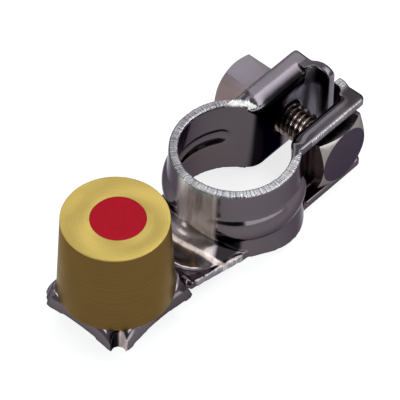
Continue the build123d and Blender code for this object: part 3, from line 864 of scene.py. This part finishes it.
# ---------------------------------------------------------------------------------------
# Post screw. A zinc-plated hex-head screw that comes up through the plate from below and
# draws the brass post down on its seat.
# ---------------------------------------------------------------------------------------
SCREW_LOW, SCREW_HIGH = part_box("post_screw")
SCREW_AF = SCREW_HIGH.y - SCREW_LOW.y
SCREW_HEAD_H = 0.0054
SCREW_R = 0.004
SCREW_EDGE = 0.00012
ZINC = (0.36, 0.37, 0.385, 1)
ZINC_DULL = (0.27, 0.275, 0.285, 1)
CRYSTAL_DEPTH = 0.000015

screw = chamfered_bar("hex_screw", 6, min(SCREW_AF, SCREW_HIGH.x - SCREW_LOW.x), SCREW_HEAD_H)
cut_by(screw, cone(SCREW_R, SCREW_R, SCREW_HIGH.z - SCREW_HEAD_H / 2, SCREW_HEAD_H / 2), "UNION")
select_only(screw)
screw.location.x = POST_X
bpy.ops.object.transform_apply(location=True, rotation=True, scale=True)
soften(screw, SCREW_EDGE, 25, 2)


def zinc_plate():
    """Passivated zinc, with a faint crystal mottle."""
    material, tree, shader, coords = new_material("zinc_plate", 1.0)
    mottle = noise(tree, coords, 900, 4.0)
    tone = mixed(tree, spread(tree, mottle, 0.0, 1.0), ZINC_DULL, ZINC)
    tree.links.new(tone, shader.inputs["Base Color"])
    tree.links.new(spread(tree, noise(tree, coords, 500), 0.24, 0.38), shader.inputs["Roughness"])
    dented(tree, shader, [(mottle, CRYSTAL_DEPTH)])
    return material


screw.data.materials.append(zinc_plate())
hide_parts("post_screw")
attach(screw, "strap")

# ---------------------------------------------------------------------------------------
# Table, lamps and camera. A white table under six softboxes of slightly cool light, of
# which the largest stands at the right and the brightest at the back left. The room is
# grey, and darker at the front left, low down on the camera's side.
# ---------------------------------------------------------------------------------------
TABLE = (0.30, 0.30, 0.30, 1)
TABLE_GLOW = 0.78

bpy.ops.object.select_all(action="DESELECT")
bpy.ops.mesh.primitive_plane_add(size=6, location=(0, 0, 0))
table = bpy.context.object
table.name = "white_table"
material, tree, shader, coords = new_material("white_table", 0.0)
shader.inputs["Base Color"].default_value = TABLE
shader.inputs["Roughness"].default_value = 0.9
shader.inputs["Emission Color"].default_value = (1, 1, 1, 1)
rays = tree.nodes.new("ShaderNodeLightPath").outputs
seen = larger(tree, rays["Is Camera Ray"], rays["Is Glossy Ray"])
seen = larger(tree, seen, rays["Is Transmission Ray"])
tree.links.new(spread(tree, seen, 0.0, TABLE_GLOW, 0.0, 1.0), shader.inputs["Emission Strength"])
table.data.materials.append(material)

ROOM = (0.50, 0.50, 0.52, 1)
ROOM_DARK = (0.03, 0.03, 0.035, 1)
DARK_SIDE = Vector((-0.57, -0.73, 0.37)).normalized()
DARK_SETS_IN = (0.55, 0.9)  # cosines of the angles from the dark side's middle
LAMP_DISTANCE = 0.9
COOL_WHITE = (0.94, 0.985, 1.0)
world = bpy.data.worlds.new("room")
bpy.context.scene.world = world
world.use_nodes = True
tree = world.node_tree
towards = tree.nodes.new("ShaderNodeTexCoord").outputs["Generated"]
facing = tree.nodes.new("ShaderNodeVectorMath")
facing.operation = "DOT_PRODUCT"
facing.inputs[1].default_value = DARK_SIDE
tree.links.new(towards, facing.inputs[0])
shade = spread(tree, facing.outputs["Value"], 0.0, 1.0, *DARK_SETS_IN)
tree.links.new(mixed(tree, shade, ROOM, ROOM_DARK), tree.nodes["Background"].inputs["Color"])


def softbox(name, towards, width, depth, radiance, along=(0, 1, 0)):
    """A lamp that faces the part from a direction, with its depth laid along an axis."""
    lamp = bpy.data.lights.new(name, "AREA")
    lamp.shape = "RECTANGLE"
    lamp.size, lamp.size_y = width, depth
    lamp.energy = radiance * pi * width * depth
    lamp.color = COOL_WHITE
    box = bpy.data.objects.new(name, lamp)
    bpy.context.scene.collection.objects.link(box)
    out = Vector(towards).normalized()
    wide = Vector(along).cross(out).normalized()
    deep = out.cross(wide)
    facing_part = Matrix((wide, deep, out)).transposed().to_4x4()
    box.matrix_world = Matrix.Translation(out * LAMP_DISTANCE) @ facing_part


softbox("right_softbox", (0.44, -0.42, 0.80), 0.32, 1.16, 5.6)
softbox("edge_strip", (0.49, 0.26, 0.83), 0.40, 0.16, 2.2)
softbox("front_softbox", (-0.05, -0.985, 0.15), 1.05, 0.32, 3.8, (0, 0, 1))
softbox("left_softbox", (-0.72, 0.45, 0.50), 0.36, 0.36, 7.0)
softbox("back_softbox", (0.49, 0.62, 0.62), 0.70, 0.34, 1.5)
softbox("top_softbox", (-0.10, 0.42, 0.90), 0.24, 0.24, 6.0)

# Where the camera stands as seen from the part, its roll, and its shift in its own plane.
AZIMUTH = radians(-48.5)
ELEVATION = radians(49.1)
ROLL = radians(0.9)
DISTANCE = 0.502
AIM_RIGHT, AIM_UP = -0.005578, 0.002217
back = Vector((sin(AZIMUTH) * cos(ELEVATION), -cos(AZIMUTH) * cos(ELEVATION), sin(ELEVATION)))
level = Vector((cos(AZIMUTH), sin(AZIMUTH), 0))
upright = back.cross(level)
right = level * cos(ROLL) + upright * sin(ROLL)
up = upright * cos(ROLL) - level * sin(ROLL)
camera = bpy.data.objects.new("camera", bpy.data.cameras.new("camera"))
bpy.context.scene.collection.objects.link(camera)
camera.data.lens = 270
camera.data.sensor_width = 36
turn = Matrix((right, up, back)).transposed().to_4x4()
camera.matrix_world = Matrix.Translation(right * AIM_RIGHT + up * AIM_UP + back * DISTANCE) @ turn
bpy.context.scene.camera = camera
bpy.context.scene.view_settings.view_transform = "Standard"
